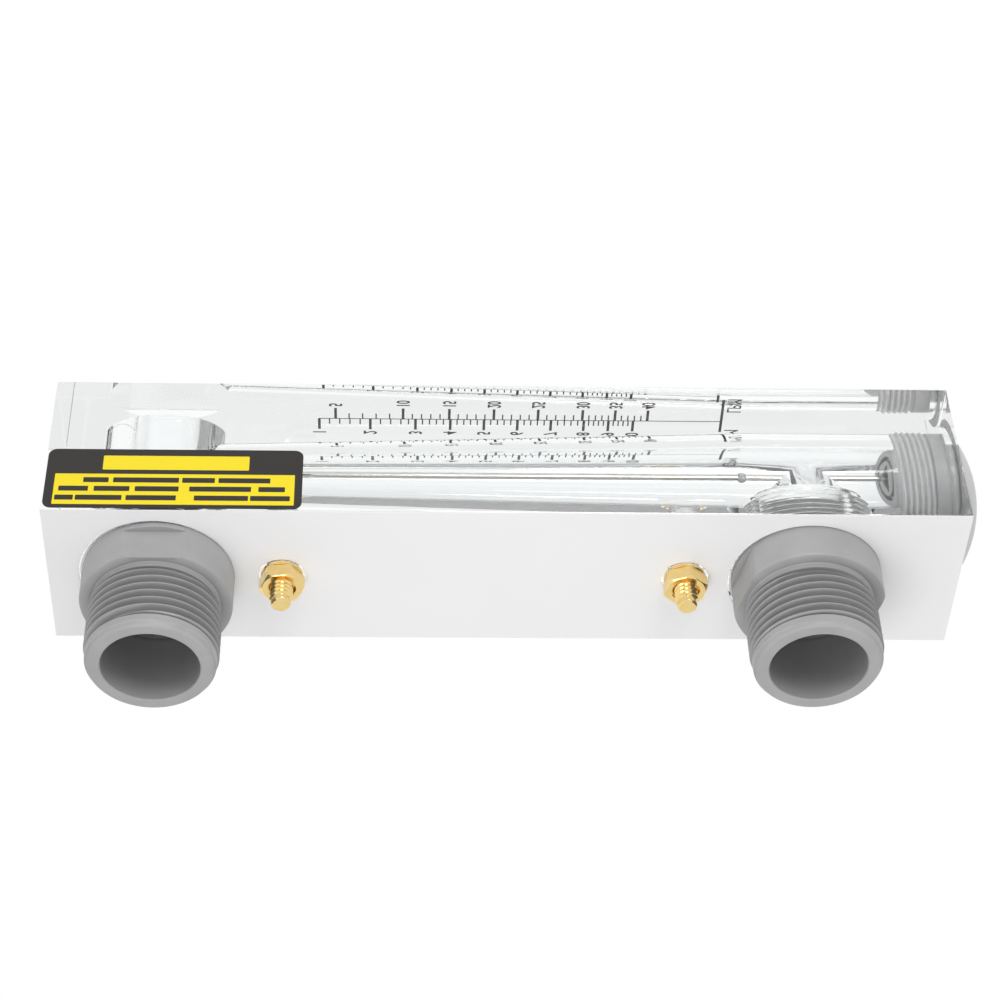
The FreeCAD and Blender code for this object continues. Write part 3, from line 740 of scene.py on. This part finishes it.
# %% Brass hardware
STUD_RADIUS = (box_mm("lower_stud")[1] - box_mm("lower_stud")[0]).x / 2
STUD_ROOT = STUD_RADIUS - 0.65
STUD_TIP = 2.5
STUD_PLAIN = 1.7
stud_foot = box_mm("lower_stud")[0].y
stud_end = box_mm("lower_stud")[1].y
NUT_CORNER = 5.77
NUT_LOW = box_mm("lower_nut")[0].y
NUT_HIGH = box_mm("lower_nut")[1].y
WASHER_RADIUS = 5.3
WASHER_THICK = box_mm("lower_washer")[1].y
NUT_TURN = {"lower": 35.5, "upper": 49.5}


def stud(side):
    """A threaded stud with a plain, bevelled end."""
    place = lay_out_of_back(STUD_Z[side])
    bm = thread(STUD_ROOT, STUD_RADIUS, STUD_PITCH, stud_foot, stud_end, CUT_TOOTH, lead_low=1.2)
    for vert in bm.verts:
        left = stud_end - vert.co.z
        if left < STUD_PLAIN:
            vert.co.xy = vert.co.xy.normalized() * min(STUD_TIP, STUD_TIP - 0.4 + left)
    piece = to_object(bm, side + "_threaded_stud", [BRASS], place)
    finish_piece(piece, "meter", [side + "_stud"], sharp=28.0)


def nut(side):
    """A hexagon nut: prism, bevel cones, countersunk bore."""
    place = lay_out_of_back(STUD_Z[side], NUT_TURN[side])
    high = NUT_HIGH - NUT_LOW
    prism = bmesh.new()
    bmesh.ops.create_cone(prism, cap_ends=True, segments=6, radius1=NUT_CORNER,
                          radius2=NUT_CORNER, depth=high)
    bmesh.ops.rotate(prism, cent=(0, 0, 0), matrix=Matrix.Rotation(math.radians(90), 3, "Z"),
                     verts=prism.verts[:])
    bmesh.ops.translate(prism, vec=(0, 0, NUT_LOW + high / 2), verts=prism.verts[:])
    upright = [edge for edge in prism.edges
               if abs(edge.verts[0].co.z - edge.verts[1].co.z) > high / 2]
    bmesh.ops.bevel(prism, geom=upright, offset=0.12, offset_type="OFFSET", segments=2,
                    profile=0.5, affect="EDGES", material=-1)
    piece = to_object(prism, side + "_hex_nut", [BRASS], place)
    flat = NUT_CORNER * math.cos(math.radians(30))
    cone = lathe([
        (0, NUT_LOW - 0.001), (flat * 0.97, NUT_LOW - 0.001), (NUT_CORNER + 0.4, NUT_LOW + 0.75),
        (NUT_CORNER + 0.4, NUT_HIGH - 0.75), (flat * 0.97, NUT_HIGH + 0.001),
        (0, NUT_HIGH + 0.001)], close=False)
    combine(piece, to_object(cone, "bevels", [BRASS], place), "INTERSECT")
    bore = lathe([
        (0, NUT_LOW - 1), (STUD_RADIUS + 0.9, NUT_LOW - 1), (STUD_RADIUS + 0.7, NUT_LOW),
        (STUD_RADIUS + 0.06, NUT_LOW + 0.6), (STUD_RADIUS + 0.06, NUT_HIGH - 0.6),
        (STUD_RADIUS + 0.7, NUT_HIGH), (STUD_RADIUS + 0.9, NUT_HIGH + 1), (0, NUT_HIGH + 1)],
        close=False)
    combine(piece, to_object(bore, "bore", [BRASS], place))
    finish_piece(piece, "meter", [side + "_nut"], sharp=20.0)


def washer(side):
    """A flat washer with its edges just broken."""
    hole = STUD_RADIUS + 0.2
    edge = 0.08
    ring = lathe([
        (hole, edge), (hole + edge, 0.0), (WASHER_RADIUS - edge, 0.0), (WASHER_RADIUS, edge),
        (WASHER_RADIUS, WASHER_THICK - edge), (WASHER_RADIUS - edge, WASHER_THICK),
        (hole + edge, WASHER_THICK), (hole, WASHER_THICK - edge)])
    piece = to_object(ring, side + "_flat_washer", [BRASS], lay_out_of_back(STUD_Z[side]))
    finish_piece(piece, "meter", [side + "_washer"])


def insert(side):
    """A knurled insert: two bands of straight teeth with a groove between them."""
    deep = -box_mm(side + "_insert")[0].y
    outer = INSERT_RADIUS - 0.03
    bm = lathe([
        (STUD_RADIUS + 0.02, -deep), (outer - 0.4, -deep), (outer, -deep + 0.4),
        (outer, -deep * 0.62), (outer - 0.4, -deep * 0.62), (outer - 0.4, -deep * 0.38),
        (outer, -deep * 0.38), (outer, 0.0), (STUD_RADIUS + 0.02, 0.0)], steps=96)
    for vert in bm.verts:
        turn = math.degrees(math.atan2(vert.co.y, vert.co.x))
        if vert.co.xy.length > outer - 0.05 and round(turn / 3.75) % 2:
            vert.co.xy = vert.co.xy * ((outer - 0.25) / outer)
    piece = to_object(bm, side + "_knurled_insert", [DULL_BRASS], lay_out_of_back(STUD_Z[side]))
    finish_piece(piece, "meter", [side + "_insert"], sharp=20.0)


for side in ("lower", "upper"):
    stud(side)
    nut(side)
    washer(side)
    insert(side)

# %% [markdown]
# ## The scale
# The scale is printed on the front face for a reader in front: litres per minute on the right of
# the line, gallons per minute on the left. The tube's taper sets where each flow stands, so the
# gallon marks come from the litre heights and the size of a gallon. Ink, like the film, sits a
# hair inside the surface.

# %% Scale layout
FLOW_HEIGHTS = [(5, -38.0), (10, -20.5), (15, -8.5), (20, 3.1), (25, 14.6), (30, 26.2),
                (35, 34.7), (40, 43.2)]
LITRES_PER_GALLON = 3.785
LINE_TOP = 62.6
MARK_WIDE = 0.7
FINE_WIDE = 0.34
MARK_LONG = 7.0
FINE_LONG = 3.5


def flow_height(litres):
    """Height of a flow on the scale, between or just beyond the calibrated ones."""
    pairs = list(zip(FLOW_HEIGHTS, FLOW_HEIGHTS[1:]))
    for (flow, height), (next_flow, next_height) in pairs:
        if litres <= next_flow:
            break
    return height + (litres - flow) * (next_height - height) / (next_flow - flow)


def bar_mark(bm, x0, x1, z0, z1):
    """A printed bar from (x0, z0) to (x1, z1) on the front face."""
    made = bmesh.ops.create_cube(bm, size=1.0)["verts"]
    bmesh.ops.scale(bm, vec=(x1 - x0, 2 * CONTACT, z1 - z0), verts=made)
    bmesh.ops.translate(bm, vec=((x0 + x1) / 2, FRONT_Y, (z0 + z1) / 2), verts=made)


# %% Scale lines
marks = bmesh.new()
start = flow_height(LITRES_PER_GALLON)
bar_mark(marks, -0.18, 0.18, start, LINE_TOP)
bar_mark(marks, -MARK_LONG, 14.6, LINE_TOP - MARK_WIDE / 2, LINE_TOP + MARK_WIDE / 2)
for litres in range(5, 41):
    main = litres % 5 == 0
    wide = MARK_WIDE if main else FINE_WIDE
    height = flow_height(litres)
    bar_mark(marks, 0, MARK_LONG if main else FINE_LONG, height - wide / 2, height + wide / 2)
for fifths in range(5, 51):
    main = fifths % 5 == 0
    wide = MARK_WIDE if main else FINE_WIDE
    height = flow_height(fifths / 5 * LITRES_PER_GALLON)
    bar_mark(marks, -(MARK_LONG if main else FINE_LONG), 0, height - wide / 2, height + wide / 2)
scale_lines = to_object(marks, "scale_lines", [SCALE_INK])
finish_piece(scale_lines, "meter", [])

# %% Scale figures


def figure(name, words, x, z, tall, wide=1.0, align="CENTER", bold=0.022):
    """Printed letters or figures, upright on the front face, as a thin mesh."""
    curve = bpy.data.curves.new(name, "FONT")
    curve.body = words
    curve.size = tall / 0.73 * MM
    curve.align_x = align
    curve.align_y = "CENTER"
    curve.extrude = CONTACT * MM
    curve.offset = bold * tall * MM
    shape = bpy.data.objects.new(name, curve)
    bpy.context.scene.collection.objects.link(shape)
    mesh = bpy.data.meshes.new_from_object(shape)
    bpy.data.objects.remove(shape)
    stand = Matrix.Rotation(math.radians(90), 4, "X")
    middle = (min(v.co.y for v in mesh.vertices) + max(v.co.y for v in mesh.vertices)) / 2
    mesh.transform(Matrix.Translation((x * MM, FRONT_Y * MM, z * MM)) @ stand
                   @ Matrix.Diagonal((wide, 1, 1, 1)) @ Matrix.Translation((0, -middle, 0)))
    mesh.materials.append(SCALE_INK)
    piece = bpy.data.objects.new(name, mesh)
    bpy.context.scene.collection.objects.link(piece)
    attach(piece, "meter")
    return piece


for litres, height in FLOW_HEIGHTS:
    figure("litres_%d" % litres, str(litres), MARK_LONG + 1.0, height, 3.5, 0.92, "LEFT")
for gallons in range(1, 11):
    height = flow_height(gallons * LITRES_PER_GALLON)
    figure("gallons_%d" % gallons, str(gallons), -MARK_LONG - 1.0, height, 3.5, 0.92, "RIGHT")
figure("unit_litres", "LPM", 10.7, LINE_TOP + 3.0, 3.9, bold=0.0)
figure("unit_gallons", "GPM", -10.7, LINE_TOP + 3.0, 3.9, bold=0.0)

# %% [markdown]
# ## The sticker
# A vinyl sticker lies flat on the right-hand side: black, with a yellow title field and a yellow
# panel. It carries no words here, only the fields of colour and plain bars in place of lines.

# %% Sticker
sticker_low, sticker_high = box_mm("side_sticker")


def sticker_plate(name, y0, y1, z0, z1, corner, out, material):
    """A plate with round corners on the side face, standing out by out."""
    bm = bmesh.new()
    bmesh.ops.create_cube(bm, size=1.0)
    inside = sticker_low.x - CONTACT
    bmesh.ops.scale(bm, vec=(out + CONTACT, y1 - y0, z1 - z0), verts=bm.verts[:])
    bmesh.ops.translate(bm, vec=(inside + (out + CONTACT) / 2, (y0 + y1) / 2, (z0 + z1) / 2),
                        verts=bm.verts[:])
    corners = [edge for edge in bm.edges
               if abs(edge.verts[0].co.x - edge.verts[1].co.x) > (out + CONTACT) / 2]
    bmesh.ops.bevel(bm, geom=corners, offset=corner, offset_type="OFFSET", segments=8,
                    profile=0.5, affect="EDGES", material=-1)
    piece = to_object(bm, name, [material])
    finish_piece(piece, "meter", [])
    return piece


plate = sticker_plate("sticker_base", sticker_low.y, sticker_high.y, sticker_low.z, sticker_high.z,
                      2.2, 0.1, STICKER_BLACK)
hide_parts("side_sticker")
sticker_plate("sticker_title", -18.6, -13.7, -94.6, -58.6, 0.3, 0.12, STICKER_YELLOW)
sticker_plate("sticker_panel", -12.2, -1.7, -106.0, -47.2, 0.25, 0.12, STICKER_YELLOW)

# %% Bars in place of words
LINES = (
    (-10.1, ((-99.0, -92.8), (-91.7, -75.6), (-74.8, -66.8), (-65.9, -53.2))),
    (-7.1, ((-104.8, -97.6), (-96.2, -87.5), (-86.2, -75.5), (-72.9, -57.8), (-56.0, -49.5))),
    (-4.0, ((-105.5, -101.0), (-100.5, -89.2), (-88.2, -76.0), (-71.6, -58.4), (-57.9, -48.2))),
)
for row, (y, spans) in enumerate(LINES):
    for place, (z0, z1) in enumerate(spans):
        sticker_plate("sticker_bar_%d_%d" % (row, place), y - 0.85, y + 0.85, z0, z1, 0.2, 0.14,
                      STICKER_BLACK)

# %% [markdown]
# ## Camera
# The camera stands behind the block and to its right, and is rolled so that the tube lies across
# the picture: the ports, the studs, the sticker and the bore can then be seen at once.

# %% Camera
camera_data = bpy.data.cameras.new("camera")
camera_data.lens = 91.06
camera_data.sensor_width = 36.0
camera = bpy.data.objects.new("camera", camera_data)
bpy.context.scene.collection.objects.link(camera)
look = Vector((-0.71098, -0.70191, 0.04290)).normalized()
right = Vector((0.03575, 0.02484, 0.99905)).normalized()
up = right.cross(look).normalized()
turn = Matrix((right, up, -look)).transposed().to_4x4()
spot = Vector((SIDE_X + 1.93280 * block_size.z, BACK_Y + 1.89034 * block_size.z,
               block_low.z + 0.37337 * block_size.z)) * MM
camera.matrix_world = Matrix.Translation(spot) @ turn
bpy.context.scene.camera = camera

# %% [markdown]
# ## Light
# Clear plastic has no look of its own: it shows what is round it. So the room is a white sweep
# behind the block that falls off to a soft grey at the sides, and it also carries most of the plain
# light on the solid pieces. Two wide lamps, one high in front and one low at the side, round the
# shapes off. Light that is trapped in the block turns back many times before it leaves, so the
# number of bounces is raised.

# %% Room and lamps
world = bpy.data.worlds.new("studio")
world.use_nodes = True
bpy.context.scene.world = world
tree = world.node_tree
tree.nodes.clear()
path = add(tree, "LightPath")
clear = add(tree, "Math", {"operation": "ADD", "use_clamp": True},
            _0=path.outputs["Is Glossy Ray"], _1=path.outputs["Is Transmission Ray"])
toward = add(tree, "VectorMath", {"operation": "DOT_PRODUCT"},
             _0=add(tree, "TexCoord").outputs["Generated"], _1=(-0.71, -0.70, 0.0))
fall = add(tree, "MapRange", Value=toward.outputs["Value"], From_Min=0.55, From_Max=0.95,
           To_Min=0.88, To_Max=1.0)
plain = add(tree, "Background", Color=colour("#ffffff"), Strength=0.62)
sweep = add(tree, "Background", Color=colour("#ffffff"), Strength=fall.outputs[0])
white = add(tree, "Background", Color=colour("#ffffff"), Strength=1.0)
lit = add(tree, "MixShader", Fac=clear.outputs[0], _1=plain.outputs[0], _2=sweep.outputs[0])
shown = add(tree, "MixShader", Fac=path.outputs["Is Camera Ray"], _1=lit.outputs[0],
            _2=white.outputs[0])
out = tree.nodes.new("ShaderNodeOutputWorld")
tree.links.new(shown.outputs[0], out.inputs["Surface"])


def lamp(name, place, wide, power):
    """A wide soft lamp at a place in metres, turned to the middle of the block."""
    data = bpy.data.lights.new(name, "AREA")
    data.shape = "DISK"
    data.size = wide
    data.energy = power
    thing = bpy.data.objects.new(name, data)
    bpy.context.scene.collection.objects.link(thing)
    aim = Vector((0, -0.02, 0)) - Vector(place)
    thing.matrix_world = Matrix.Translation(place) @ aim.to_track_quat("-Z", "Y").to_matrix().to_4x4()
    return thing


lamp("key lamp", (1.0, 0.15, 0.15), 0.4, 3.8)
lamp("fill lamp", (0.1, 1.0, -0.2), 0.6, 3.4)

# %% [markdown]
# ## Floor
# A pale floor well below the block catches its shadow. The camera, and the light that comes through
# the plastic, meet it as plain white.

# %% Floor
FLOOR_Z = -0.2
floor_bm = bmesh.new()
bmesh.ops.create_circle(floor_bm, cap_ends=True, segments=96, radius=0.42)
floor_mesh = bpy.data.meshes.new("floor")
floor_bm.to_mesh(floor_mesh)
floor_bm.free()
floor = bpy.data.objects.new("floor", floor_mesh)
floor.location.z = FLOOR_Z
bpy.context.scene.collection.objects.link(floor)
pale, tree = new_material("pale floor")
path = add(tree, "LightPath")
grain = add(tree, "TexNoise", Vector=add(tree, "TexCoord").outputs["Object"], Scale=1 / (40 * MM))
tone = add(tree, "MixRGB", Fac=grain.outputs["Fac"], Color1=colour("#ececec"),
           Color2=colour("#f2f2f2"))
paint = add(tree, "BsdfDiffuse", Color=tone.outputs["Color"])
glow = add(tree, "Emission", Color=colour("#ffffff"), Strength=1.0)
bare = add(tree, "Math", {"operation": "ADD"}, _0=path.outputs["Is Camera Ray"],
           _1=path.outputs["Is Transmission Ray"])
bare = add(tree, "Math", {"operation": "ADD", "use_clamp": True}, _0=bare.outputs[0],
           _1=path.outputs["Is Glossy Ray"])
surface(tree, add(tree, "MixShader", Fac=bare.outputs[0], _1=paint.outputs[0], _2=glow.outputs[0]))
floor_mesh.materials.append(pale)

# %% Bounces and colour
cycles = bpy.context.scene.cycles
cycles.max_bounces = 32
cycles.glossy_bounces = 24
cycles.transmission_bounces = 32
cycles.diffuse_bounces = 8
cycles.caustics_reflective = True
cycles.caustics_refractive = True
bpy.context.scene.view_settings.view_transform = "Standard"
